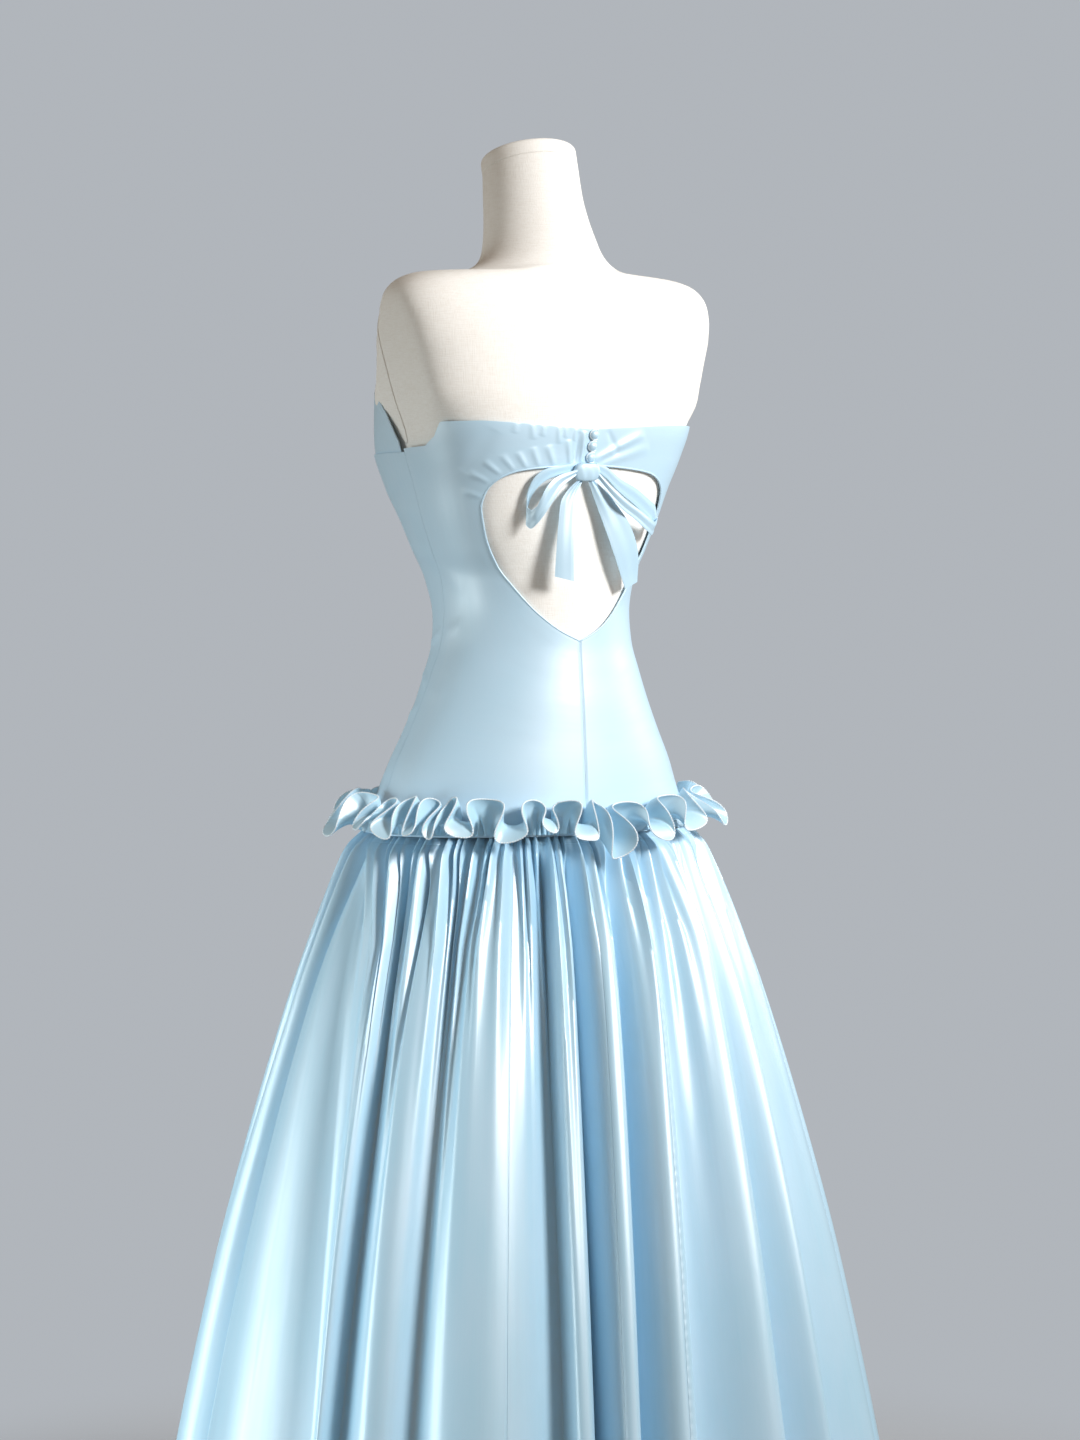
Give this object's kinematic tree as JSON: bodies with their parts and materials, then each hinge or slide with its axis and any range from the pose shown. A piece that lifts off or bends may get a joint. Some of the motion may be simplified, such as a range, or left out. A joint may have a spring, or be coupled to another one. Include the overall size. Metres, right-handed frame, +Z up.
{
  "type": "evening dress on dress form",
  "caption": "Strapless A-line evening dress in satin with an open back, a bow, a gathered skirt and a waist ruffle, shown on a limbless dress form on a stand.",
  "frame": {"origin": "on the floor, at the middle of the underside of the stand's base", "axes": "+Z up, the open back of the dress faces +Y, the wearer's left side faces +X"},
  "size_m": [0.8541, 0.7505, 1.5869],
  "materials": {
    "satin": "pale blue satin with a soft sheen",
    "form_cover": "off-white linen, matt",
    "stand_steel": "brushed"
  },
  "bodies": {
    "root": {"front_lower": "satin", "front_upper": "satin", "back_left": "satin", "back_right": "satin", "skirt_side_left": "satin", "skirt_back_left": "satin", "skirt_back_centre_left": "satin", "skirt_back_centre_right": "satin", "skirt_back_right": "satin", "skirt_side_right": "satin", "skirt_front_right": "satin", "skirt_front_left": "satin", "ruffle_back": "satin", "ruffle_front": "satin", "bow_knot": "satin", "bow_loop_left": "satin", "bow_loop_right": "satin", "bow_tail_left": "satin", "bow_tail_right": "satin", "button_top": "satin", "button_middle": "satin", "button_bottom": "satin", "form_torso": "form_cover", "form_neck_cap": "form_cover", "form_arm_plate_left": "form_cover", "form_arm_plate_right": "form_cover", "stand_collar": "stand_steel", "stand_pole": "stand_steel", "stand_base": "stand_steel"}
  },
  "joints": []
}
